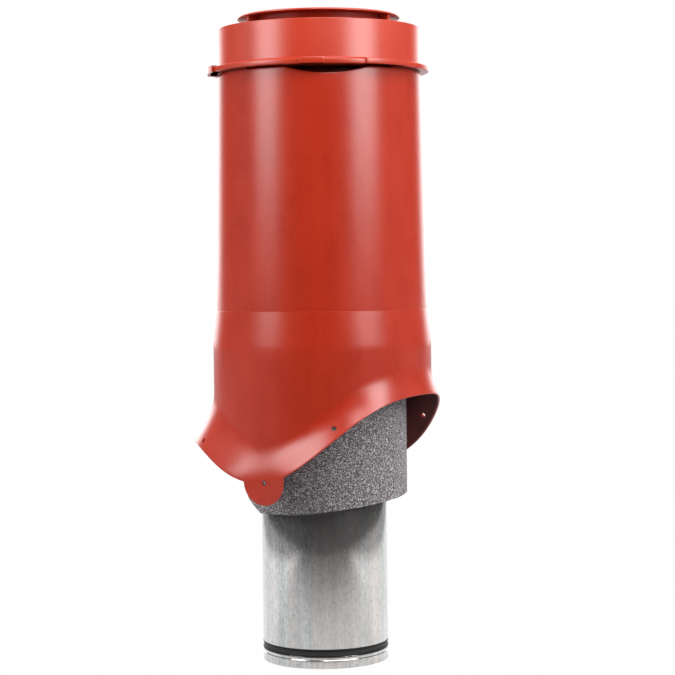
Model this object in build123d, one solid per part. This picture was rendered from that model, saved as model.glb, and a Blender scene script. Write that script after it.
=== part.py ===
from build123d import *
import math
import os

os.makedirs("parts", exist_ok=True)

# Insulated roof vent: a galvanised inner pipe in a foam sleeve, inside a moulded casing whose
# flared skirt sits on a profiled roof, under a hood with a rain disc.
# Frame: origin on the pipe axis at the pipe's lower end, +Z up, +X towards the roof's ridge.
# The skirt is symmetrical about the XZ plane. Its two screw ears are at +Y and -Y.
# All sizes are in millimetres and all angles in degrees.

# Inner pipe: folded sheet steel. Its lower end is swaged out to the duct size as a spigot,
# with a rolled line and a rolled seal groove, and ends under the foam
spigot_diameter = 125.0
spigot_swage = 1.5
spigot_gap = 10.0
pipe_length = 600.0
pipe_wall = 0.8
line_level = 8.4
line_depth = 0.5
groove_start = 11.6
groove_width = 7.4
groove_depth = 1.5

# Rubber seal: a moulded ring with two lips
seal_clearance = 0.1
seal_stand = 0.2
lip_width = 1.3
lip_bevel = 0.5

# Foam sleeve, thicker on the side where its sheet overlaps, cut aslant by hand at the bottom
foam_diameter = 160.0
foam_offset = 3.5
foam_offset_angle = 30.0
foam_clearance = 0.25
foam_drop = 62.5
foam_slant = 5.9
foam_slant_angle = 50.0
foam_corner_angle = 210.0
foam_corner_slope = 42.0
foam_corner_reach = 64.0
foam_top_gap = 42.5

# Casing: one moulding, a tapered tube over a cone band over a plain band over the skirt
casing_wall = 2.5
casing_top_radius = 100.7
seam_radius = 104.5
band_radius = 108.5
seam_height = 128.5
crease_height = 93.0
seam_step = 0.3
notch_angle = -56.0
notch_width = 80.0
notch_depth = 6.5

# Skirt rim: its mean height over the pipe's end, and its waves around the axis
rim_level = 220.5
rim_fall = 23.5
rim_saddle = 27.0
rim_skew = 3.0
rim_point = -8.0
rim_mean_radius = 122.8
rim_lean = -6.5
rim_three = -2.7

# Height over the rim where the tube starts to flare: its mean, and its change round the axis
flare_height = 28.0
flare_lean = -15.0
plain_band = 23.0
skirt_sections = 24
skirt_points = 36
joint_lap = 1.0
joint_step = 0.05

# Ears and screw holes of the skirt: angle from the ridge side and height over the pipe's end
ear_radius = 22.0
ear_height = 186.5
hole_diameter = 5.0
upper_hole_angle = 55.0
upper_hole_height = 239.0
lower_hole_angle = 136.0
lower_hole_height = 221.5

# Hood: one moulding of wall, lip, deck, collar, three ribs and three locating tongues
hood_wall = 2.5
hood_radius = 99.8
hood_height = 43.5
hood_gap = 1.7
deck_drop = 17.5
deck_thickness = 3.0
lip_radius = 108.6
lip_thickness = 4.5
lip_rise = 2.0
collar_wall = 3.0
collar_clearance = 0.3
collar_below = 16.5
collar_above = 6.0
stop_gap = 0.2
rib_count = 3
rib_thickness = 3.0
rib_gap = 1.2
tongue_span = 30.0
tongue_depth = 14.0
tongue_wall = 2.5
tongue_clearance = 0.4
lug_reach = 0.8
small_lug_angle = -63.4
small_lug_span = 12.0
large_lug_angle = -23.0
large_lug_span = 26.0
drain_radius = 91.0
drain_width = 3.6
drain_span = 26.0
drain_count = 6

# Rain disc: one moulding of a low cone with a thin lip and a deflector ring beneath
disc_radius = 80.5
disc_rise = 10.0
disc_thickness = 2.0
disc_cone = 3.0
deflector_radius = 66.0
deflector_depth = 24.0
deflector_taper = 6.0

# Spacers: moulded spoked rings that hold the pipe and the foam in the middle of the casing
spacer_wall = 2.5
spacer_clearance = 0.3
spoke_count = 6
spoke_thickness = 3.0
upper_spacer_gap = 2.0
upper_spacer_height = 16.0
lower_spacer_gap = 6.0
lower_spacer_height = 14.0

# Self-tapping screws that fix the upper spacer's collar to the pipe
screw_count = 3
screw_shank = 2.9
screw_head = 6.5
screw_head_height = 2.0
screw_length = 7.0
screw_clearance = 0.3
screw_boss = 10.0
screw_boss_stand = 2.0

# Levels that follow from the sizes above
spigot_radius = spigot_diameter / 2
pipe_radius = spigot_radius - spigot_swage
foam_radius = foam_diameter / 2
foam_bottom = rim_level - foam_drop
spigot_top = foam_bottom - spigot_gap
seam_level = rim_level + seam_height
crease_level = rim_level + crease_height
deck_level = pipe_length - deck_drop
casing_top = deck_level - hood_gap
hood_top = deck_level + hood_height
disc_level = hood_top + disc_rise
foam_top = deck_level - foam_top_gap
upper_spacer_level = foam_top + upper_spacer_gap
lower_spacer_level = seam_level + lower_spacer_gap
screw_level = upper_spacer_level + upper_spacer_height / 2
foam_centre = Vector(foam_offset, 0).rotate(Axis.Z, foam_offset_angle)
skirt_top = crease_level - plain_band
skirt_bottom = ear_height - ear_radius - 6


def turned(points):
    """A solid of revolution about Z from a closed outline of (radius, height) points."""
    outline = Polyline([(r, 0, z) for r, z in points], close=True)
    return revolve(make_face(outline), Axis.Z, 360)


def around(shape, angle):
    """The shape turned about the pipe axis."""
    return Rot(0, 0, angle) * shape


def radial_bar(inner, outer, bottom, top, thickness, angle):
    """A bar that runs outward from the axis at one angle."""
    bar = Box(outer - inner, thickness, top - bottom, align=(Align.MIN, Align.CENTER, Align.MIN))
    return around(Pos(inner, 0, bottom) * bar, angle)


def ring_sector(inner, outer, bottom, top, middle, span):
    """An arc-shaped block between two radii, centred on one angle."""
    outline = Polyline([(inner, 0, bottom), (outer, 0, bottom), (outer, 0, top), (inner, 0, top)], close=True)
    return around(revolve(make_face(outline), Axis.Z, span), middle - span / 2)


def casing_radius(z):
    """Outer radius of the casing's tube above the crease."""
    if z < seam_level:
        share = (z - crease_level) / (seam_level - crease_level)
        return band_radius + share * (seam_radius - band_radius)
    share = (z - seam_level) / (casing_top - seam_level)
    return seam_radius + share * (casing_top_radius - seam_radius)


def rim_height(angle):
    """Height of the skirt's rim at one angle from the ridge side."""
    a = math.radians(angle)
    waves = rim_fall * math.cos(a) + rim_saddle * math.cos(2 * a)
    return rim_level + waves + rim_skew * math.cos(3 * a) + rim_point * math.cos(4 * a)


def rim_radius(angle):
    """Radius of the skirt's rim at one angle from the ridge side."""
    a = math.radians(angle)
    return rim_mean_radius + rim_lean * math.cos(a) + rim_three * math.cos(3 * a)


def flare_fall(angle):
    """Height from the rim up to where the tube starts to flare at one angle."""
    return flare_height + flare_lean * math.cos(math.radians(angle))


def skirt_radius(angle, z):
    """Outer radius of the skirt: an S-curve from the tube out to the rim, upright below it."""
    share = 1 - (z - rim_height(angle)) / flare_fall(angle)
    share = min(max(share, 0), 1)
    return band_radius + (rim_radius(angle) - band_radius) * (1 - math.cos(math.pi * share)) / 2


def skirt_slope(angle, z):
    """How far the skirt widens for each millimetre down."""
    return skirt_radius(angle, z - 0.5) - skirt_radius(angle, z + 0.5)


def skirt_solid(inset, end):
    """A closed solid lofted through level sections, inset square to the skirt's outside."""
    sections = []
    for i in range(skirt_sections + 1):
        z = skirt_bottom - end + (skirt_top - skirt_bottom + 2 * end) * i / skirt_sections
        points = []
        for k in range(skirt_points):
            angle = 360 * k / skirt_points
            r = skirt_radius(angle, z) - inset * math.hypot(1, skirt_slope(angle, z))
            points.append(Vector(r, 0, z).rotate(Axis.Z, angle))
        sections.append(make_face(Spline(points, periodic=True)))
    return loft(sections)


def rim_cutter():
    """Everything below the rim, apart from the two ears."""
    inner = []
    outer = []
    for k in range(72):
        angle = 5 * k
        z = rim_height(angle)
        inner.append(Vector(foam_radius / 2, 0, z).rotate(Axis.Z, angle))
        outer.append(Vector(rim_mean_radius + 40, 0, z).rotate(Axis.Z, angle))
    roof = Face.make_surface_from_curves(Spline(inner, periodic=True), Spline(outer, periodic=True))
    cutter = extrude(roof, amount=rim_level, dir=(0, 0, -1))
    ears = Pos(0, 0, ear_height) * Rot(90, 0, 0) * Cylinder(ear_radius, 4 * rim_mean_radius)
    return cutter - ears


def screw_hole(angle, height):
    """A hole square to the skirt's outside at one angle and height."""
    tilt = math.degrees(math.atan(skirt_slope(angle, height)))
    hole = Cylinder(hole_diameter / 2, 10 * casing_wall)
    return around(Pos(skirt_radius(angle, height), 0, height) * Rot(0, 90 - tilt, 0) * hole, angle)


def outer_casing():
    """The casing: tube, cone band and skirt in one moulding."""
    inside = -casing_wall
    joint = skirt_top - joint_lap
    tube = turned([
        (band_radius + joint_step, joint),
        (band_radius, crease_level),
        (seam_radius + seam_step, seam_level),
        (seam_radius, seam_level),
        (casing_top_radius, casing_top),
        (casing_top_radius + inside, casing_top),
        (seam_radius + inside, seam_level),
        (band_radius + inside, crease_level),
        (band_radius + inside - joint_step, joint),
    ])
    notch_radius = (notch_width ** 2 / 4 + notch_depth ** 2) / (2 * notch_depth)
    notch_place = Pos(casing_top_radius, 0, casing_top - notch_depth + notch_radius)
    notch = around(notch_place * Rot(0, 90, 0) * Cylinder(notch_radius, 40), notch_angle)
    casing = (tube - notch) + (skirt_solid(0, 0) - skirt_solid(casing_wall, 1) - rim_cutter())
    for side in (1, -1):
        casing -= screw_hole(90 * side, ear_height)
        casing -= screw_hole(upper_hole_angle * side, upper_hole_height)
        casing -= screw_hole(lower_hole_angle * side, lower_hole_height)
    return casing


def inner_pipe():
    """The galvanised pipe: spigot, line and seal groove are rolled into the sheet."""
    inside = spigot_radius - pipe_wall
    groove = spigot_radius - groove_depth
    groove_end = groove_start + groove_width
    pipe = turned([
        (spigot_radius, 0),
        (spigot_radius, line_level - line_depth),
        (spigot_radius - line_depth, line_level),
        (spigot_radius, line_level + line_depth),
        (spigot_radius, groove_start),
        (groove, groove_start),
        (groove, groove_end),
        (spigot_radius, groove_end),
        (spigot_radius, spigot_top),
        (pipe_radius, spigot_top),
        (pipe_radius, pipe_length),
        (pipe_radius - pipe_wall, pipe_length),
        (pipe_radius - pipe_wall, spigot_top - pipe_wall),
        (inside, spigot_top - pipe_wall),
        (inside, groove_end + pipe_wall),
        (groove - pipe_wall, groove_end + pipe_wall),
        (groove - pipe_wall, groove_start - pipe_wall),
        (inside, groove_start - pipe_wall),
        (inside, line_level + 2 * line_depth),
        (inside - line_depth, line_level),
        (inside, line_level - 2 * line_depth),
        (inside, 0),
    ])
    hole = Pos(pipe_radius, 0, screw_level) * Rot(0, 90, 0) * Cylinder((screw_shank + screw_clearance) / 2, 10)
    for k in range(screw_count):
        pipe -= around(hole, 360 * k / screw_count)
    return pipe


def pipe_seal():
    """The rubber ring in the groove, with a bevelled lip at each edge."""
    low = groove_start + seal_clearance
    high = groove_start + groove_width - seal_clearance
    foot = spigot_radius - groove_depth + seal_clearance
    tip = spigot_radius + seal_stand
    valley = tip - lip_bevel
    return turned([
        (foot, low),
        (valley, low),
        (tip, low + lip_bevel),
        (tip, low + lip_width),
        (valley, low + lip_width + lip_bevel),
        (valley, high - lip_width - lip_bevel),
        (tip, high - lip_width),
        (tip, high - lip_bevel),
        (valley, high),
        (foot, high),
    ])


def foam_sleeve():
    """The foam round the pipe, its lower end cut aslant with one corner cut off."""
    sleeve = Pos(foam_centre) * Cylinder(foam_radius, foam_top, align=(Align.CENTER, Align.CENTER, Align.MIN))
    bore = Cylinder(pipe_radius + foam_clearance, foam_top, align=(Align.CENTER, Align.CENTER, Align.MIN))
    waste = Box(4 * foam_diameter, 4 * foam_diameter, foam_top, align=(Align.CENTER, Align.CENTER, Align.MAX))
    slant = around(Pos(0, 0, foam_bottom) * Rot(0, -foam_slant, 0) * waste, foam_slant_angle)
    turn = math.radians(foam_corner_angle - foam_slant_angle)
    corner_level = foam_bottom + foam_corner_reach * math.cos(turn) * math.tan(math.radians(foam_slant))
    corner_place = Pos(foam_corner_reach, 0, corner_level) * Rot(0, -foam_corner_slope, 0)
    corner = around(corner_place * waste, foam_corner_angle)
    return sleeve - bore - slant - corner


def hood():
    """The hood: wall, lip, deck, collar, ribs, lugs and locating tongues."""
    deck_top = deck_level + deck_thickness
    inside = hood_radius - hood_wall
    collar_in = pipe_radius + collar_clearance
    collar_out = collar_in + collar_wall
    collar_top = pipe_length + collar_above
    throat = pipe_radius - pipe_wall
    break_edge = hood_wall / 3
    shell = turned([
        (collar_in, deck_level - collar_below),
        (collar_out, deck_level - collar_below),
        (collar_out, deck_level),
        (lip_radius, deck_level),
        (lip_radius, deck_level + lip_thickness),
        (hood_radius, deck_level + lip_thickness + lip_rise),
        (hood_radius, hood_top - break_edge),
        (hood_radius - break_edge, hood_top),
        (inside, hood_top),
        (inside, deck_top),
        (collar_out, deck_top),
        (collar_out, collar_top),
        (throat, collar_top),
        (throat, pipe_length + stop_gap),
        (collar_in, pipe_length + stop_gap),
    ])
    rib_in = deflector_radius + rib_gap
    rib_out = disc_radius - rib_gap
    tongue_out = casing_radius(casing_top) - casing_wall - tongue_clearance
    for k in range(rib_count):
        turn = 360 * k / rib_count
        shell += radial_bar(rib_in, rib_out, deck_top, disc_level, rib_thickness, turn)
        shell += radial_bar(collar_out - collar_wall / 2, rib_out, deck_top, collar_top, rib_thickness, turn)
        tongue = (tongue_out - tongue_wall, tongue_out, deck_level - tongue_depth, deck_level)
        shell += ring_sector(*tongue, turn, tongue_span)
        lug = (hood_radius, lip_radius + lug_reach, deck_level, deck_level + lip_thickness)
        shell += ring_sector(*lug, small_lug_angle + turn, small_lug_span)
        shell += ring_sector(*lug, large_lug_angle + turn, large_lug_span)
    drain = (drain_radius - drain_width / 2, drain_radius + drain_width / 2, deck_level, deck_top)
    for k in range(drain_count):
        shell -= ring_sector(*drain, 360 * (k + 0.5) / drain_count, drain_span)
    return shell


def rain_disc():
    """The rain disc: a low cone with a flat lip and a tapered deflector ring beneath it."""
    under = disc_level
    foot = under - deflector_depth
    foot_radius = deflector_radius - deflector_taper
    top = under + disc_thickness + disc_cone
    return turned([
        (0, top),
        (disc_radius - disc_thickness / 2, under + disc_thickness),
        (disc_radius, under + disc_thickness / 2),
        (disc_radius, under),
        (deflector_radius, under),
        (foot_radius, foot),
        (foot_radius - disc_thickness, foot),
        (deflector_radius - disc_thickness, under),
        (0, top - disc_thickness),
    ])


def outer_band(bottom, top):
    """The rim of a spacer, tapered like the casing that it sits in."""
    gap = casing_wall + spacer_clearance
    inner = casing_radius(top) - gap - spacer_wall
    return turned([
        (inner, bottom),
        (casing_radius(bottom) - gap, bottom),
        (casing_radius(top) - gap, top),
        (inner, top),
    ])


def spokes(inner, outer, bottom, top, centre):
    """Evenly spaced spokes round one centre, trimmed to a round outside on the pipe axis."""
    wheel = Part()
    for k in range(spoke_count):
        wheel += radial_bar(inner, outer * 1.2, bottom, top, spoke_thickness, 360 * (k + 0.5) / spoke_count)
    limit = Pos(0, 0, bottom) * Cylinder(outer, top - bottom, align=(Align.CENTER, Align.CENTER, Align.MIN))
    return (Pos(centre) * wheel) & limit


def upper_spacer():
    """The spoked ring that is screwed to the pipe and centres the casing's top."""
    bottom = upper_spacer_level
    top = bottom + upper_spacer_height
    inner = pipe_radius + spacer_clearance
    outer = casing_radius(top) - casing_wall - spacer_clearance - spacer_wall / 2
    ring = turned([(inner, bottom), (inner + spacer_wall, bottom), (inner + spacer_wall, top), (inner, top)])
    ring += outer_band(bottom, top) + spokes(inner + spacer_wall / 2, outer, bottom, top, Vector())
    stand = spacer_wall + screw_boss_stand
    boss_place = Pos(inner + spacer_wall / 2, 0, screw_level) * Rot(0, 90, 0)
    boss = boss_place * Cylinder(screw_boss / 2, stand - spacer_wall / 2, align=(Align.CENTER, Align.CENTER, Align.MIN))
    hole = Pos(inner, 0, screw_level) * Rot(0, 90, 0) * Cylinder((screw_shank + screw_clearance) / 2, 4 * stand)
    for k in range(screw_count):
        ring += around(boss, 360 * k / screw_count)
    for k in range(screw_count):
        ring -= around(hole, 360 * k / screw_count)
    return ring


def lower_spacer():
    """The spoked ring between the foam and the casing, just above the seam."""
    bottom = lower_spacer_level
    top = bottom + lower_spacer_height
    inner = foam_radius + spacer_clearance
    outer = casing_radius(top) - casing_wall - spacer_clearance - spacer_wall / 2
    ring = turned([(inner, bottom), (inner + spacer_wall, bottom), (inner + spacer_wall, top), (inner, top)])
    wheel = spokes(inner + spacer_wall / 2, outer, bottom, top, foam_centre)
    return outer_band(bottom, top) + Pos(foam_centre) * ring + wheel


def spacer_screws():
    """The screws that fix the upper spacer's collar to the pipe, heads on its bosses."""
    seat = pipe_radius + spacer_clearance + spacer_wall + screw_boss_stand
    turn_out = Pos(seat, 0, screw_level) * Rot(0, 90, 0)
    shank = Cylinder(screw_shank / 2, screw_length, align=(Align.CENTER, Align.CENTER, Align.MAX))
    head = Cylinder(screw_head / 2, screw_head_height, align=(Align.CENTER, Align.CENTER, Align.MIN))
    screw = turn_out * (shank + head)
    return Compound(children=[around(screw, 360 * k / screw_count) for k in range(screw_count)])


export_step(outer_casing(), "parts/outer_casing.step")
export_step(hood(), "parts/hood.step")
export_step(rain_disc(), "parts/rain_disc.step")
export_step(inner_pipe(), "parts/inner_pipe.step")
export_step(pipe_seal(), "parts/pipe_seal.step")
export_step(foam_sleeve(), "parts/foam_sleeve.step")
export_step(upper_spacer(), "parts/upper_spacer.step")
export_step(lower_spacer(), "parts/lower_spacer.step")
export_step(spacer_screws(), "parts/spacer_screws.step")
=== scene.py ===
import math

import bmesh
import bpy
from mathutils import Matrix, Vector, noise


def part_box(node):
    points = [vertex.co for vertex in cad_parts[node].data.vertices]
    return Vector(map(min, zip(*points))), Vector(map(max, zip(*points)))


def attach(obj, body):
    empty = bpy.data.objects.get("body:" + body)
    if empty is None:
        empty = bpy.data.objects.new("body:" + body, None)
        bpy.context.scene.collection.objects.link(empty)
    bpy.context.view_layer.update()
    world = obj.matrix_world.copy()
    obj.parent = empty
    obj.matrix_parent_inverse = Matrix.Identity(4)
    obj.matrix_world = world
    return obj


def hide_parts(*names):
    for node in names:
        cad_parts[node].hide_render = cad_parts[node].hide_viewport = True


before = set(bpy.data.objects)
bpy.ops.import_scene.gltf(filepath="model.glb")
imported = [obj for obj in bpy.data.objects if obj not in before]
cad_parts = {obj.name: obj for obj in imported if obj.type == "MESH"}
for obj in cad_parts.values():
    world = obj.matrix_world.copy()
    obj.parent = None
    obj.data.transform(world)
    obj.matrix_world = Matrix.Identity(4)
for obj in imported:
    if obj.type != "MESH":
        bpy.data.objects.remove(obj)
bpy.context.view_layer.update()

# The camera stands about two metres off, a little above the middle of the vent's height,
# thirty degrees round from the eaves side towards the right-hand ear, and looks slightly down.
view_side = math.radians(30)
camera_distance = 1.94
camera_height = 0.3955
camera_pitch = math.radians(2.22)
camera_yaw = math.radians(0.45)
camera_roll = math.radians(0.7)
focal_length = 103.7
sensor_width = 36
picture_right = Vector((math.cos(view_side), math.sin(view_side), 0))
picture_away = Vector((-math.sin(view_side), math.cos(view_side), 0))
picture_up = Vector((0, 0, 1))

ahead = picture_away * math.cos(camera_pitch) - picture_up * math.sin(camera_pitch)
above = picture_away * math.sin(camera_pitch) + picture_up * math.cos(camera_pitch)
level_right = picture_right * math.cos(camera_yaw) - ahead * math.sin(camera_yaw)
look = picture_right * math.sin(camera_yaw) + ahead * math.cos(camera_yaw)
right = level_right * math.cos(camera_roll) - above * math.sin(camera_roll)
up = level_right * math.sin(camera_roll) + above * math.cos(camera_roll)
lens = bpy.data.cameras.new("camera")
lens.sensor_width = sensor_width
lens.lens = focal_length
camera = bpy.data.objects.new("camera", lens)
camera.matrix_world = Matrix((right, up, -look)).transposed().to_4x4()
camera.location = picture_up * camera_height - picture_away * camera_distance
bpy.context.scene.collection.objects.link(camera)
bpy.context.scene.camera = camera
bpy.context.scene.view_settings.view_transform = "Standard"


# The finishes are node materials. A Value is a socket that takes part in arithmetic, and
# a Finish adds any other node by its type, its settings and the values or links of its sockets.
class Value:
    def __init__(self, finish, socket):
        self.finish = finish
        self.socket = socket

    def sum(self, operation, first, second):
        return self.finish.node("Math", {"operation": operation}, {0: first, 1: second})["Value"]

    def __add__(self, other):
        return self.sum("ADD", self, other)

    def __radd__(self, other):
        return self.sum("ADD", other, self)

    def __sub__(self, other):
        return self.sum("SUBTRACT", self, other)

    def __rsub__(self, other):
        return self.sum("SUBTRACT", other, self)

    def __mul__(self, other):
        return self.sum("MULTIPLY", self, other)

    def __rmul__(self, other):
        return self.sum("MULTIPLY", other, self)


class Finish:
    def __init__(self, name):
        self.material = bpy.data.materials.new(name)
        self.material.use_nodes = True
        self.tree = self.material.node_tree
        self.tree.nodes.clear()

    def node(self, kind, settings=None, sockets=None):
        made = self.tree.nodes.new("ShaderNode" + kind)
        for name, value in (settings or {}).items():
            if name == "stops":
                self.set_stops(made.color_ramp, value)
            else:
                setattr(made, name, value)
        for name, value in (sockets or {}).items():
            if isinstance(value, Value):
                self.tree.links.new(value.socket, made.inputs[name])
            elif isinstance(value, tuple) and len(value) == 3 and made.inputs[name].type == "RGBA":
                made.inputs[name].default_value = (*value, 1)
            else:
                made.inputs[name].default_value = value
        return {output.name: Value(self, output) for output in made.outputs}

    def set_stops(self, ramp, stops):
        while len(ramp.elements) < len(stops):
            ramp.elements.new(0.5)
        for element, (place, colour) in zip(ramp.elements, stops):
            element.position = place
            element.color = (*colour, 1)

    def place(self, scale=(1, 1, 1)):
        """Object coordinates in metres, stretched by a scale along each axis."""
        here = self.node("TexCoord")["Object"]
        return self.node("Mapping", None, {"Vector": here, "Scale": scale})["Vector"]

    def noise(self, size, scale=(1, 1, 1), detail=3.0, roughness=0.5):
        """Noise whose blobs are about one size across, in metres, before the stretch."""
        blobs = {"Scale": 1 / size, "Detail": detail, "Roughness": roughness}
        return self.node("TexNoise", None, {"Vector": self.place(scale), **blobs})["Fac"]

    def ramp(self, value, *stops):
        """A value turned to a colour by stops of (place, colour)."""
        return self.node("ValToRGB", {"stops": stops}, {"Fac": value})["Color"]

    def spread(self, value, low, high):
        """A value stretched so that low becomes 0 and high becomes 1, and kept between them."""
        sockets = {"Value": value, "From Min": low, "From Max": high}
        return self.node("MapRange", {"clamp": True}, sockets)["Result"]

    def mix(self, share, first, second):
        """Two colours mixed by a share. Sockets go by identifier, because their names repeat."""
        made = self.tree.nodes.new("ShaderNodeMix")
        made.data_type = "RGBA"
        for name, value in (("Factor_Float", share), ("A_Color", first), ("B_Color", second)):
            socket = next(s for s in made.inputs if s.identifier == name)
            if isinstance(value, Value):
                self.tree.links.new(value.socket, socket)
            elif isinstance(value, tuple):
                socket.default_value = (*value, 1)
            else:
                socket.default_value = value
        return Value(self, next(s for s in made.outputs if s.identifier == "Result_Color"))

    def bump(self, height, depth, strength=1.0):
        """A bump whose full height is a depth in metres."""
        sockets = {"Height": height, "Distance": depth, "Strength": strength}
        return self.node("Bump", None, sockets)["Normal"]

    def surface(self, **sockets):
        """The shader, its sockets named with underscores for blanks."""
        named = {name.replace("_", " "): value for name, value in sockets.items()}
        shader = self.node("BsdfPrincipled", None, named)["BSDF"]
        self.node("OutputMaterial", None, {"Surface": shader})
        return self.material


# The floor is a white table that ends 1.6 m in front of the vent and takes its shadow. Mirrored in
# the pipe it is white near the vent and dark towards the camera. It is lit by its own glow.
table_half = 8
table_front = 1.6
floor_grey = (0.26, 0.26, 0.26)
floor_mesh = bmesh.new()
table_place = Matrix.Translation((0, table_half - table_front, 0))
table_turn = Matrix.Rotation(view_side, 4, "Z") @ table_place
bmesh.ops.create_grid(floor_mesh, x_segments=1, y_segments=1, size=table_half, matrix=table_turn)
floor_data = bpy.data.meshes.new("floor")
floor_mesh.to_mesh(floor_data)
floor_mesh.free()
floor = bpy.data.objects.new("floor", floor_data)
bpy.context.scene.collection.objects.link(floor)
paper = Finish("floor_white")
path = paper.node("LightPath")
seen = path["Is Camera Ray"]
matt = paper.node("BsdfDiffuse", None, {"Color": floor_grey})["BSDF"]


def floor_reach(direction):
    """How far a place on the floor lies from the axis along a direction, in metres."""
    sockets = {0: paper.place(), 1: direction}
    return paper.node("VectorMath", {"operation": "DOT_PRODUCT"}, sockets)["Value"]


along = floor_reach(picture_away)
aside = floor_reach(picture_right)
near = paper.spread(along + 0.8 * aside * aside, -0.75, 0.02)
far = paper.spread(aside * aside, 0.5, 1.6)
white = 0.15 + 0.12 * paper.spread(along, -1.1, -0.2) + 0.73 * near * near * near * (1 - 0.85 * far)
lit = paper.mix(seen, paper.ramp(white, (0, (0, 0, 0)), (1, (1, 1, 1))), (1, 1, 1))
glow = paper.node("Emission", None, {"Color": lit, "Strength": 1.0})["Emission"]
share = seen * 0.985 + path["Is Glossy Ray"] * (1 - seen)
both = paper.node("MixShader", None, {0: share, 1: matt, 2: glow})["Shader"]
paper.node("OutputMaterial", None, {"Surface": both})
floor.data.materials.append(paper.material)

# The world is plain white to the camera. As light it is white behind the vent and dark in front
# of it, and mirrored in the surfaces it is white only straight behind.
world = bpy.data.worlds.new("studio")
world.use_nodes = True
bpy.context.scene.world = world
sky = world.node_tree
sky.nodes.clear()


def sky_node(kind, sockets, **settings):
    """Adds a node to the world, its sockets set to values or linked to other nodes' outputs."""
    made = sky.nodes.new("ShaderNode" + kind)
    for name, value in settings.items():
        setattr(made, name, value)
    for name, value in sockets.items():
        if isinstance(value, bpy.types.NodeSocket):
            sky.links.new(value, made.inputs[name])
        else:
            made.inputs[name].default_value = value
    return made.outputs


def sky_span(value, low, high, dark, bright):
    """A value stretched from low..high to dark..bright."""
    sockets = {"Value": value, "From Min": low, "From Max": high, "To Min": dark, "To Max": bright}
    return sky_node("MapRange", sockets)["Result"]


sky_path = sky_node("LightPath", {})
toward = sky_node("TexCoord", {})["Generated"]
behind = sky_node("VectorMath", {0: toward, 1: picture_away}, operation="DOT_PRODUCT")["Value"]
mirrored = sky_span(behind, 0.76, 0.90, 0.02, 3.2)
high = sky_node("VectorMath", {0: toward, 1: picture_up}, operation="DOT_PRODUCT")["Value"]
brighter_above = sky_span(high, 0.0, 0.5, 0.55, 1.25)
white_behind = sky_span(behind, -0.35, 0.25, 0.05, 4.2)
dimmer_last = sky_span(behind, 0.45, 0.85, 1.0, 0.3)
spread = sky_node("Math", {0: white_behind, 1: brighter_above}, operation="MULTIPLY")["Value"]
spread = sky_node("Math", {0: spread, 1: dimmer_last}, operation="MULTIPLY")["Value"]
unseen = sky_node("Mix", {"Factor": sky_path["Is Glossy Ray"], "A": spread, "B": mirrored})["Result"]
glowing = sky_node("Mix", {"Factor": sky_path["Is Camera Ray"], "A": unseen, "B": 1.0})["Result"]
sky_light = sky_node("Background", {"Color": (1, 1, 1, 1), "Strength": glowing})["Background"]
sky_node("OutputWorld", {"Surface": sky_light})


# Two tall soft boxes stand either side of the camera and give the casing its two pale
# upright bands. A third, small and high, touches the shoulder of the hood and the flare.
def soft_box(name, turn, distance, height, width, tall, watts, aim):
    """A lamp turned so many degrees to the picture's right of the camera, aimed at the axis."""
    turn = math.radians(turn)
    place = (picture_right * math.sin(turn) - picture_away * math.cos(turn)) * distance
    place.z = height
    data = bpy.data.lights.new(name, "AREA")
    data.shape = "RECTANGLE"
    data.size = width
    data.size_y = tall
    data.energy = watts
    lamp = bpy.data.objects.new(name, data)
    lamp.location = place
    lamp.rotation_euler = (Vector((0, 0, aim)) - place).to_track_quat("-Z", "Y").to_euler()
    bpy.context.scene.collection.objects.link(lamp)


tall_box = {"distance": 1.3, "height": 1.04, "tall": 0.95, "aim": 0.50}
soft_box("left_box", turn=-59, width=0.60, watts=13.5, **tall_box)
soft_box("right_box", turn=49, width=0.70, watts=17.5, **tall_box)
soft_box("top_box", turn=14, distance=0.70, height=1.32, width=0.6, tall=0.4, watts=8, aim=0.58)


# The inner pipe is folded galvanised sheet, 125 mm across. A line and the seal's groove are
# rolled into its lower end, and inside the foam it steps in. It carries foam, spacers and hood.
round_steps = 240
sharp_turn = math.radians(38)


def lathe(outline, steps=round_steps):
    """A closed outline of (radius, height) points in metres, spun round the axis."""
    mesh = bmesh.new()
    verts = [mesh.verts.new((r, 0, z)) for r, z in outline]
    for first, second in zip(verts, verts[1:] + verts[:1]):
        if first.co.xy != second.co.xy or first.co.x > 0:
            mesh.edges.new((first, second))
    spun = {"cent": (0, 0, 0), "axis": (0, 0, 1), "angle": math.tau, "steps": steps}
    bmesh.ops.spin(mesh, geom=mesh.verts[:] + mesh.edges[:], use_merge=True, **spun)
    bmesh.ops.remove_doubles(mesh, verts=mesh.verts, dist=1e-6)
    bmesh.ops.recalc_face_normals(mesh, faces=mesh.faces)
    return mesh


def soften(mesh, width, segments=2, sharpest=25):
    """Rounds every edge that turns by more than so many degrees."""
    edges = [e for e in mesh.edges if len(e.link_faces) == 2]
    edges = [e for e in edges if math.degrees(e.calc_face_angle(0)) > sharpest]
    rounding = {"offset": width, "segments": segments, "profile": 0.5, "material": -1}
    bmesh.ops.bevel(mesh, geom=edges, affect="EDGES", **rounding)


def settle(mesh, data):
    """Writes a mesh into a piece's data, smooth but for its sharp edges."""
    for face in mesh.faces:
        face.smooth = True
    mesh.to_mesh(data)
    mesh.free()
    data.set_sharp_from_angle(angle=sharp_turn)


def make_piece(name, mesh, finish, slot, *nodes):
    """A finished piece from its mesh, in place of the solids it stands for."""
    data = bpy.data.meshes.new(name)
    settle(mesh, data)
    piece = bpy.data.objects.new(name, data)
    bpy.context.scene.collection.objects.link(piece)
    data.materials.append(finish)
    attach(piece, "root")
    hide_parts(*nodes)
    return piece


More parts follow.
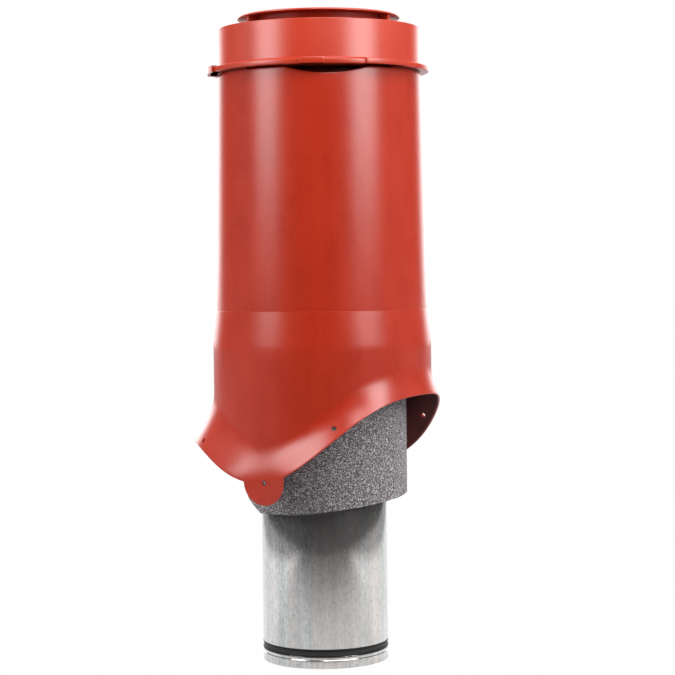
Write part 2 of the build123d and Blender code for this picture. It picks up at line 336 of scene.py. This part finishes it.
def galvanised_finish():
    """Dull zinc: faint spangle, upright rolling streaks, warm-tinted upright streaks and small specks."""
    zinc = Finish("galvanised_zinc")
    spangle_place = zinc.place((1, 1, 0.75))
    spangle = zinc.node("TexVoronoi", None, {"Vector": spangle_place, "Scale": 420.0})["Color"]
    flake = zinc.node("SeparateColor", None, {"Color": spangle})["Red"]
    streak = zinc.noise(0.007, (1, 1, 0.03), 5.0, 0.6)
    fine = zinc.noise(0.0011, (1, 1, 0.12), 3.0, 0.7)
    cloud = zinc.noise(0.05, (1, 1, 0.5), 3.0)
    speck = zinc.spread(zinc.noise(0.0022, (1, 1, 1), 1.0), 0.68, 0.74)
    spark = zinc.spread(zinc.noise(0.0019, (1.2, 1.2, 1), 1.0), 0.69, 0.74)
    tone = 0.24 + 0.22 * streak + 0.30 * fine + 0.12 * cloud + 0.05 * flake
    grey = zinc.ramp(
        tone,
        (0.32, (0.26, 0.28, 0.295)),
        (0.54, (0.50, 0.52, 0.53)),
        (0.74, (0.92, 0.92, 0.91)),
    )
    warm = zinc.spread(zinc.noise(0.020, (1, 1, 0.02), 2.0, 0.4), 0.42, 0.72)
    tinted = zinc.mix(warm * 0.45, grey, (0.86, 0.70, 0.62))
    darker = zinc.mix(speck * 0.4, tinted, (0.14, 0.14, 0.15))
    colour = zinc.mix(spark * 0.8, darker, (0.95, 0.96, 0.97))
    rough = 0.07 + 0.07 * fine + 0.05 * cloud + 0.1 * speck + 0.1 * spark
    relief = zinc.bump(fine, 0.00001, 0.5)
    return zinc.surface(Base_Color=colour, Metallic=0.92, Roughness=rough, Normal=relief)


spigot_radius = 0.0625
spigot_top = 0.172
pipe_radius = 0.0610
pipe_wall = 0.0008
pipe_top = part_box("inner_pipe")[1].z
line_level = 0.0084
line_depth = 0.0005
groove_low = 0.0116
groove_high = 0.0190
groove_depth = 0.0015
pipe_inside = pipe_radius - pipe_wall
spigot_inside = spigot_radius - pipe_wall
groove_radius = spigot_radius - groove_depth

zinc_finish = galvanised_finish()
pipe_mesh = lathe([
    (spigot_radius, 0),
    (spigot_radius, line_level - line_depth),
    (spigot_radius - line_depth, line_level),
    (spigot_radius, line_level + line_depth),
    (spigot_radius, groove_low),
    (groove_radius, groove_low),
    (groove_radius, groove_high),
    (spigot_radius, groove_high),
    (spigot_radius, spigot_top),
    (pipe_radius, spigot_top),
    (pipe_radius, pipe_top),
    (pipe_inside, pipe_top),
    (pipe_inside, spigot_top - pipe_wall),
    (spigot_inside, spigot_top - pipe_wall),
    (spigot_inside, groove_high + pipe_wall),
    (groove_radius - pipe_wall, groove_high + pipe_wall),
    (groove_radius - pipe_wall, groove_low - pipe_wall),
    (spigot_inside, groove_low - pipe_wall),
    (spigot_inside, line_level + 2 * line_depth),
    (spigot_inside - line_depth, line_level),
    (spigot_inside, line_level - 2 * line_depth),
    (spigot_inside, 0),
])
soften(pipe_mesh, 0.0002)
make_piece("galvanised_pipe", pipe_mesh, zinc_finish, "galvanised_steel", "inner_pipe")


# The seal is a black rubber ring that sits in the groove. Two rounded lips stand just proud
# of the pipe, with a duller hollow between them.
def rubber_finish():
    """Black rubber with a faint bloom in the hollow."""
    rubber = Finish("seal_rubber")
    bloom = rubber.noise(0.004, (1, 1, 1), 4.0)
    height = rubber.node("SeparateXYZ", None, {"Vector": rubber.place()})["Z"]
    hollow = rubber.spread(height, 0.0132, 0.0142) * (1 - rubber.spread(height, 0.0163, 0.0173))
    dull = rubber.mix(hollow * 0.9, (0.006, 0.006, 0.006), (0.030, 0.030, 0.031))
    colour = rubber.mix(bloom * 0.3, dull, (0.02, 0.02, 0.02))
    relief = rubber.bump(bloom, 0.00008)
    return rubber.surface(Base_Color=colour, Roughness=0.42 + 0.2 * bloom, Normal=relief, IOR=1.3)


seal_gap = 0.0001
lip_tip = spigot_radius + 0.0002
lip_valley = spigot_radius - 0.0006
lip_shoulder = lip_tip - 0.0005
lip_start = 0.0006
lip_end = 0.0013
valley_start = 0.0020
seal_foot = groove_radius + seal_gap
seal_low = groove_low + seal_gap
seal_high = groove_high - seal_gap
seal_mesh = lathe([
    (seal_foot, seal_low),
    (lip_shoulder, seal_low),
    (lip_tip, seal_low + lip_start),
    (lip_tip, seal_low + lip_end),
    (lip_valley, seal_low + valley_start),
    (lip_valley, seal_high - valley_start),
    (lip_tip, seal_high - lip_end),
    (lip_tip, seal_high - lip_start),
    (lip_shoulder, seal_high),
    (seal_foot, seal_high),
])
soften(seal_mesh, 0.00025, sharpest=15)
make_piece("pipe_seal_ring", seal_mesh, rubber_finish(), "seal_rubber", "pipe_seal")


# The foam sleeve is grey cellular sheet wrapped round the pipe, thicker on one side. Its lower
# end was cut aslant by hand, with one corner cut off, so that cut shows open cells.
def foam_finish():
    """Grey foam: pale cell walls, each open cell darkened towards its middle as painted shade."""
    foam = Finish("grey_foam")
    here = foam.place()
    wander = foam.node("TexNoise", None, {"Vector": here, "Scale": 500.0, "Detail": 2.0})["Color"]
    short = {"Vector": wander, "Scale": 0.0012}
    wander = foam.node("VectorMath", {"operation": "SCALE"}, short)["Vector"]
    bent = foam.node("VectorMath", {"operation": "ADD"}, {0: here, 1: wander})["Vector"]
    sockets = {"Vector": bent, "Scale": 850.0, "Randomness": 1.0}
    cells = foam.node("TexVoronoi", {"feature": "F1"}, sockets)
    depth = cells["Distance"]
    lone = foam.node("SeparateColor", None, {"Color": cells["Color"]})["Red"]
    grain = foam.noise(0.0010, (1, 1, 1), 3.0, 0.7)
    patch = foam.noise(0.012, (1, 1, 1), 3.0)
    # The tone darkens towards each cell's middle, painted shade in the open cells; grain, patches and
    # each cell's own tone are the foam's colour.
    tone = 1.20 * depth + 1.00 * grain + 0.35 * lone + 0.15 * patch - 0.86
    colour = foam.ramp(
        tone,
        (0.05, (0.013, 0.012, 0.013)),
        (0.35, (0.076, 0.068, 0.072)),
        (0.60, (0.186, 0.166, 0.174)),
        (0.95, (0.490, 0.460, 0.470)),
    )
    relief = foam.bump(depth + 0.6 * grain, 0.0005, 0.9)
    return foam.surface(Base_Color=colour, Roughness=0.82, Normal=relief)


foam_radius = 0.080
foam_offset = 0.0035
foam_offset_angle = math.radians(30)
foam_bore = spigot_radius + 0.0001
foam_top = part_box("foam_sleeve")[1].z
foam_fine_top = 0.285
foam_cut_level = 0.158
foam_slant = math.tan(math.radians(5.9))
foam_slant_angle = math.radians(50)
corner_angle = math.radians(210)
corner_slope = math.tan(math.radians(42))
corner_reach = 0.064
foam_base = 0.140
foam_steps = 460
foam_rows = 105
foam_rings = 9
pit_room = 0.0004
pit_depth = 0.00024
foam_centre = Vector((math.cos(foam_offset_angle), math.sin(foam_offset_angle), 0)) * foam_offset


def foam_cut(x, y):
    """Level of the slanted cut and of the cut-off corner over one place."""
    rise = x * math.cos(foam_slant_angle) + y * math.sin(foam_slant_angle)
    slanted = foam_cut_level + foam_slant * rise
    reach = x * math.cos(corner_angle) + y * math.sin(corner_angle)
    start = foam_cut_level + foam_slant * corner_reach * math.cos(corner_angle - foam_slant_angle)
    corner = start + (reach - corner_reach) * corner_slope
    return max(slanted, corner)


foam_skin = foam_radius - pit_room
foam_outline = [(foam_bore, foam_base)]
for step in range(1, foam_rings):
    foam_outline.append((foam_bore + (foam_skin - foam_bore) * step / foam_rings, foam_base))
for step in range(foam_rows + 1):
    foam_outline.append((foam_skin, foam_base + (foam_fine_top - foam_base) * step / foam_rows))
foam_outline += [(foam_skin, foam_top), (foam_bore, foam_top)]
foam_mesh = lathe(foam_outline, foam_steps)
for vert in foam_mesh.verts:
    x, y, z = vert.co
    radius = math.hypot(x, y)
    shift = (radius - foam_bore) / (foam_skin - foam_bore)
    x += foam_centre.x * shift
    y += foam_centre.y * shift
    low = foam_cut(x, y) + pit_room
    if z < foam_fine_top:
        share = (z - foam_base) / (foam_fine_top - foam_base)
        z = low + (foam_fine_top - low) * share
    vert.co = (x, y, z)
foam_mesh.normal_update()
for vert in foam_mesh.verts:
    if vert.co.z < foam_fine_top + 0.001 and math.hypot(vert.co.x, vert.co.y) > foam_bore + 0.001:
        pits = noise.noise(vert.co * 520) + 0.6 * noise.noise(vert.co * 1100)
        vert.co += vert.normal * (pit_depth * pits)
make_piece("foam_wrap", foam_mesh, foam_finish(), "foam", "foam_sleeve")


# The spacers are black moulded rings with spokes. The lower one sits between foam and casing,
# and the upper one is fixed to the pipe by three zinc-plated screws. All are inside the casing.
def black_finish():
    """Black moulded plastic with a fine grain."""
    black = Finish("black_plastic")
    grain = black.noise(0.0008, (1, 1, 1), 2.0)
    colour = black.ramp(grain, (0.3, (0.018, 0.018, 0.019)), (0.7, (0.035, 0.035, 0.037)))
    relief = black.bump(grain, 0.00005)
    return black.surface(Base_Color=colour, Roughness=0.45 + 0.15 * grain, Normal=relief)


def plated_finish():
    """Bright zinc plating with fine turning marks."""
    plated = Finish("zinc_plating")
    marks = plated.noise(0.0006, (1, 1, 4), 2.0)
    colour = plated.ramp(marks, (0.3, (0.55, 0.56, 0.58)), (0.7, (0.75, 0.75, 0.74)))
    return plated.surface(Base_Color=colour, Metallic=1.0, Roughness=0.25 + 0.2 * marks)


spacer_black = black_finish()
for node_name in ("upper_spacer", "lower_spacer"):
    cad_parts[node_name].data.materials[0] = spacer_black
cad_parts["spacer_screws"].data.materials[0] = plated_finish()


# The outer casing is one moulding of brick-red plastic: a tube that narrows upwards from a fine
# seam line, a cone band, a plain band, and a skirt that flares to a waved rim with two ears.
# Six screw holes are drilled square to the skirt.
def red_finish(name, deep, pale, shine, grain_depth):
    """Red plastic: a fine moulded grain, soft mottling and faint upright flow lines."""
    red = Finish(name)
    grain = red.noise(0.0007, (1, 1, 1), 2.0, 0.6)
    mottle = red.noise(0.028, (1, 1, 0.6), 4.0, 0.55)
    flow = red.noise(0.012, (1, 1, 0.05), 3.0, 0.5)
    share = red.spread(0.5 * mottle + 0.3 * flow + 0.2 * grain, 0.36, 0.64)
    colour = red.mix(share, deep, pale)
    rough = shine + 0.10 * grain + 0.06 * mottle
    relief = red.bump(grain + 0.15 * mottle, grain_depth, 0.6)
    return red.surface(Base_Color=colour, Roughness=rough, Normal=relief, IOR=1.58)


def shaded_inside_red_finish():
    """The moulding's inside: dull and grainy, its red darkened as painted shade inside the casing."""
    dull = Finish("casing_inside_shaded")
    grain = dull.noise(0.0012, (1, 1, 1), 3.0, 0.6)
    mottle = dull.noise(0.030, (1, 1, 0.6), 3.0)
    share = dull.spread(0.6 * mottle + 0.4 * grain, 0.36, 0.64)
    # Both reds are far darker than the outside's: painted shade where little light reaches inside the
    # casing.
    colour = dull.mix(share, (0.070, 0.008, 0.006), (0.110, 0.013, 0.009))
    relief = dull.bump(grain, 0.00010, 0.6)
    return dull.surface(Base_Color=colour, Roughness=0.62 + 0.1 * grain, Normal=relief, IOR=1.35)


def wrap(columns, rows, place):
    """A grid closed round the axis and round its own outline, each point set by place."""
    mesh = bmesh.new()
    bmesh.ops.create_grid(mesh, x_segments=columns, y_segments=rows, size=1)
    for vert in mesh.verts:
        column = round((vert.co.x + 1) / 2 * columns)
        row = round((vert.co.y + 1) / 2 * rows)
        vert.co = place(column, row)
    bmesh.ops.remove_doubles(mesh, verts=mesh.verts, dist=1e-5)
    bmesh.ops.recalc_face_normals(mesh, faces=mesh.faces)
    return mesh


def join(mesh, *extras):
    """Adds closed meshes to a mesh."""
    for extra in extras:
        data = bpy.data.meshes.new("extra")
        extra.to_mesh(data)
        extra.free()
        mesh.from_mesh(data)
        bpy.data.meshes.remove(data)


def cut_away(piece, cutter_mesh):
    """Cuts a mesh out of a piece and keeps the result as the piece's own mesh."""
    data = bpy.data.meshes.new("cutter")
    cutter_mesh.to_mesh(data)
    cutter_mesh.free()
    cutter = bpy.data.objects.new("cutter", data)
    bpy.context.scene.collection.objects.link(cutter)
    cut = piece.modifiers.new("cut", "BOOLEAN")
    cut.object = cutter
    cut.solver = "EXACT"
    shaped = piece.evaluated_get(bpy.context.evaluated_depsgraph_get())
    result = bpy.data.meshes.new_from_object(shaped)
    piece.modifiers.remove(cut)
    piece.data = result
    result.set_sharp_from_angle(angle=sharp_turn)
    bpy.data.objects.remove(cutter)


casing_wall = 0.0025
casing_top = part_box("outer_casing")[1].z
top_radius = 0.1007
seam_radius = 0.1045
seam_step = 0.0003
band_radius = 0.1085
seam_level = 0.3490
crease_level = 0.3135
edge_round = 0.0008
notch_angle = math.radians(-56)
notch_width = 0.080
notch_depth = 0.0065
dent_depth = 0.0006
dent_height = 0.014
top_zone = 0.012
ear_radius = 0.022
ear_height = 0.1865
hole_radius = 0.0025
hole_places = ((90, ear_height), (55, 0.2390), (136, 0.2215))


def rim_height(angle):
    """Height of the rim at an angle from the ridge side."""
    waves = 0.0235 * math.cos(angle) + 0.027 * math.cos(2 * angle)
    return 0.2205 + waves + 0.003 * math.cos(3 * angle) - 0.008 * math.cos(4 * angle)


def near_ear(angle, span):
    """1 at either ear, falling to 0 away from it over so many degrees."""
    off_ear = (abs(math.remainder(angle, math.tau)) - math.pi / 2) / math.radians(span)
    return math.exp(-off_ear ** 2)


def rim_radius(angle):
    """Radius of the rim at an angle from the ridge side."""
    waves = 0.0065 * math.cos(angle) + 0.0027 * math.cos(3 * angle)
    return 0.1228 - waves - 0.0085 * near_ear(angle, 16)


def flare_fall(angle):
    """Height of the flare above the rim at an angle from the ridge side."""
    return 0.040 - 0.012 * math.cos(angle)


def notch_reach(angle):
    """Distance round the top edge from the middle of its notch."""
    return abs(math.remainder(angle - notch_angle, math.tau)) * top_radius


def top_edge(angle):
    """Level of the casing's top edge, with its shallow notch."""
    reach = notch_reach(angle)
    if reach >= notch_width / 2:
        return casing_top
    bow = (notch_width ** 2 / 4 + notch_depth ** 2) / (2 * notch_depth)
    return casing_top - notch_depth + bow - math.sqrt(bow * bow - reach * reach)


def outside_radius(angle, z):
    """Radius of the casing's outside at an angle and a level."""
    if z >= seam_level:
        narrowing = top_radius - seam_radius
        radius = seam_radius + narrowing * (z - seam_level) / (casing_top - seam_level)
        hollow = max(0, 1 - notch_reach(angle) / (notch_width / 2))
        hollow *= max(0, 1 - (casing_top - z) / dent_height)
        return radius - dent_depth * math.sin(math.pi / 2 * min(1, 2 * hollow)) ** 2
    if z >= crease_level:
        share = (z - crease_level) / (seam_level - crease_level)
        return band_radius + (seam_radius + seam_step - band_radius) * share
    share = min(max(1 - (z - rim_height(angle)) / flare_fall(angle), 0), 1)
    bend = math.pi / 2 * (1 + near_ear(angle, 24))
    flare = rim_radius(angle) - band_radius
    return band_radius + flare * (1 - math.cos(bend * share)) / (1 - math.cos(bend))


def widening(angle, z):
    """How far the casing widens for each metre down."""
    return (outside_radius(angle, z - 0.0005) - outside_radius(angle, z + 0.0005)) / 0.001


def foot_level(angle):
    """Level of the casing's lower edge: the rim, or the round edge of an ear."""
    across = abs(rim_radius(angle) * math.cos(angle))
    if across >= ear_radius * 0.999:
        return rim_height(angle)
    return min(rim_height(angle), ear_height - math.sqrt(ear_radius ** 2 - across ** 2))


ear_half = math.asin(ear_radius / rim_radius(math.pi / 2))
ear_steps = 20
plain_steps = 84
ring_angles = []
for middle in (math.pi / 2, -math.pi / 2):
    for step in range(ear_steps):
        ring_angles.append(middle + ear_half * math.sin(math.pi * (step / ear_steps - 0.5)))
    for step in range(plain_steps):
        ring_angles.append(middle + ear_half + (math.pi - 2 * ear_half) * step / plain_steps)
ring_angles = sorted(angle % math.tau for angle in ring_angles)

segment_rows = (6, 30, 1, 8, 8, 28, 10)
down = [(0, 0)]
for segment, count in enumerate(segment_rows):
    down += [(segment, (step + 1) / count) for step in range(count)]
turn_steps = ((0.7, 0.0, 0.3), (1.0, 0.0, 1.0), (1.0, 1.0, -1.0), (0.7, 1.0, -0.3))
outline = [(segment, share, 0, 0) for segment, share in down]
for rise, wall_share, inset in turn_steps:
    outline.append((6, 1, casing_wall * wall_share + edge_round * inset, -edge_round * rise))
outline += [(segment, share, casing_wall, 0) for segment, share in reversed(down)]
for rise, wall_share, inset in reversed(turn_steps):
    outline.append((0, 0, casing_wall * wall_share + edge_round * inset, edge_round * rise))


def casing_place(column, row):
    """One point of the casing: down the outside, round the rim, up the inside, over the top."""
    angle = ring_angles[column % len(ring_angles)]
    segment, share, inset, lift = outline[row % len(outline)]
    rim = rim_height(angle)
    levels = (
        top_edge(angle) - edge_round,
        casing_top - top_zone,
        seam_level,
        seam_level - seam_step,
        crease_level - 0.0001,
        rim + flare_fall(angle),
        rim + edge_round,
        foot_level(angle) + edge_round,
    )
    z = levels[segment] + (levels[segment + 1] - levels[segment]) * share + lift
    radius = outside_radius(angle, z) - inset * math.hypot(1, widening(angle, z))
    return radius * math.cos(angle), radius * math.sin(angle), z


casing_red = red_finish("casing_red", (0.30, 0.0155, 0.0035), (0.36, 0.0205, 0.005), 0.21, 0.00007)
casing_mesh = wrap(len(ring_angles), len(outline), casing_place)
# Faces turned towards the axis take the second finish, the inside red darkened as painted shade.
for face in casing_mesh.faces:
    middle = face.calc_center_median()
    face.material_index = int(face.normal.x * middle.x + face.normal.y * middle.y < -0.02)
casing = make_piece("casing", casing_mesh, casing_red, "casing_plastic", "outer_casing")
casing.data.materials.append(shaded_inside_red_finish())
holes = bmesh.new()
for hole_angle, hole_level in hole_places:
    for side in (1, -1):
        angle = math.radians(hole_angle * side)
        lean = math.atan(widening(angle, hole_level))
        seat = Matrix.Translation((outside_radius(angle, hole_level), 0, hole_level))
        aim = Matrix.Rotation(angle, 4, "Z") @ seat @ Matrix.Rotation(math.pi / 2 - lean, 4, "Y")
        drill = {"cap_ends": True, "segments": 32, "radius1": hole_radius, "radius2": hole_radius}
        bmesh.ops.create_cone(holes, depth=0.014, matrix=aim, **drill)
cut_away(casing, holes)


# The hood is one glossier moulding: an upright wall on a thin lip with small lugs, a deck with
# drain slots, a collar over the pipe, three ribs for the disc, and tongues inside the casing.
arc_cuts = 12


def arc_block(inner, outer, low, high, middle, span):
    """A block bent round the axis, between two radii, two levels and over a span of angle."""
    block = bmesh.new()
    bmesh.ops.create_cube(block, size=1)
    bent = [e for e in block.edges if abs(e.verts[0].co.y - e.verts[1].co.y) > 0.5]
    bmesh.ops.subdivide_edges(block, edges=bent, cuts=arc_cuts)
    for vert in block.verts:
        radius = (inner + outer) / 2 + (outer - inner) * vert.co.x
        angle = math.radians(middle + span * vert.co.y)
        z = (low + high) / 2 + (high - low) * vert.co.z
        vert.co = (radius * math.cos(angle), radius * math.sin(angle), z)
    return block


def radial_bar(inner, outer, low, high, thickness, angle):
    """A straight bar that runs outward from the axis."""
    bar = bmesh.new()
    size = Matrix.Diagonal((outer - inner, thickness, high - low, 1))
    middle = Matrix.Translation(((inner + outer) / 2, 0, (low + high) / 2))
    turned = Matrix.Rotation(math.radians(angle), 4, "Z")
    bmesh.ops.create_cube(bar, size=1, matrix=turned @ middle @ size)
    soften(bar, 0.0003)
    return bar


deck_level = 0.5825
deck_top = deck_level + 0.003
hood_top = 0.626
hood_radius = 0.0998
hood_inside = hood_radius - 0.0025
lip_radius = 0.1086
lip_height = 0.0045
lip_slope = 0.002
collar_in = pipe_radius + 0.0003
collar_out = collar_in + 0.003
collar_foot = deck_level - 0.0165
collar_top = pipe_top + 0.006
seat_level = pipe_top + 0.0002
drain_in = 0.0892
drain_out = 0.0928
drain_span = 26
drain_reach = 0.002
tongue_out = top_radius - casing_wall - 0.0004
tongue_in = tongue_out - 0.0025
tongue_foot = deck_level - 0.014
tongue_top = deck_level + 0.001
tongue_span = 30
lug_radius = lip_radius + 0.0022
lug_top = deck_level + lip_height + 0.0008
lug_places = ((-63.4, 12), (-23, 26))
rib_in = 0.0672
rib_out = 0.0793
rib_foot = deck_top - 0.001
rib_thickness = 0.003
gusset_in = collar_out - 0.0015
drum_height = 0.024
disc_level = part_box("rain_disc")[0].z + drum_height

hood_red = red_finish("hood_red", (0.34, 0.022, 0.006), (0.40, 0.029, 0.008), 0.24, 0.00003)
hood_mesh = lathe([
    (collar_in, collar_foot),
    (collar_out, collar_foot),
    (collar_out, deck_level),
    (lip_radius, deck_level),
    (lip_radius, deck_level + lip_height),
    (hood_radius, deck_level + lip_height + lip_slope),
    (hood_radius, hood_top),
    (hood_inside, hood_top),
    (hood_inside, deck_top),
    (collar_out, deck_top),
    (collar_out, collar_top),
    (pipe_inside, collar_top),
    (pipe_inside, seat_level),
    (collar_in, seat_level),
])
soften(hood_mesh, 0.0006, segments=3)
hood = make_piece("hood_moulding", hood_mesh, hood_red, "hood_plastic", "hood")
drains = bmesh.new()
drain_low = deck_level - drain_reach
drain_high = deck_top + drain_reach
for turn in range(30, 390, 60):
    join(drains, arc_block(drain_in, drain_out, drain_low, drain_high, turn, drain_span))
cut_away(hood, drains)
whole_mesh = bmesh.new()
whole_mesh.from_mesh(hood.data)
for turn in (0, 120, 240):
    blocks = [arc_block(tongue_in, tongue_out, tongue_foot, tongue_top, turn, tongue_span)]
    for lug_angle, lug_span in lug_places:
        blocks.append(arc_block(hood_radius, lug_radius, deck_level, lug_top, turn + lug_angle, lug_span))
    for block in blocks:
        soften(block, 0.0005, sharpest=60)
    blocks.append(radial_bar(rib_in, rib_out, rib_foot, disc_level, rib_thickness, turn))
    blocks.append(radial_bar(gusset_in, rib_out, rib_foot, collar_top, rib_thickness, turn))
    join(whole_mesh, *blocks)
settle(whole_mesh, hood.data)


# The rain disc is a low cone with a thin lip, moulded in the hood's plastic. A deflector ring
# hangs from its underside, and it sits on the hood's three ribs.
disc_radius = 0.0805
disc_thickness = 0.002
disc_edge = 0.001
cone_top = disc_level + disc_thickness + 0.003
drum_radius = 0.066
drum_inside = drum_radius - 0.002
drum_foot = disc_level - drum_height
disc_mesh = lathe([
    (0, cone_top),
    (disc_radius - disc_edge, disc_level + disc_thickness),
    (disc_radius, disc_level + disc_edge),
    (disc_radius, disc_level),
    (drum_radius, disc_level),
    (drum_radius, drum_foot),
    (drum_inside, drum_foot),
    (drum_inside, disc_level),
    (0, cone_top - disc_thickness),
])
soften(disc_mesh, 0.0004)
make_piece("rain_cap", disc_mesh, hood_red, "hood_plastic", "rain_disc")
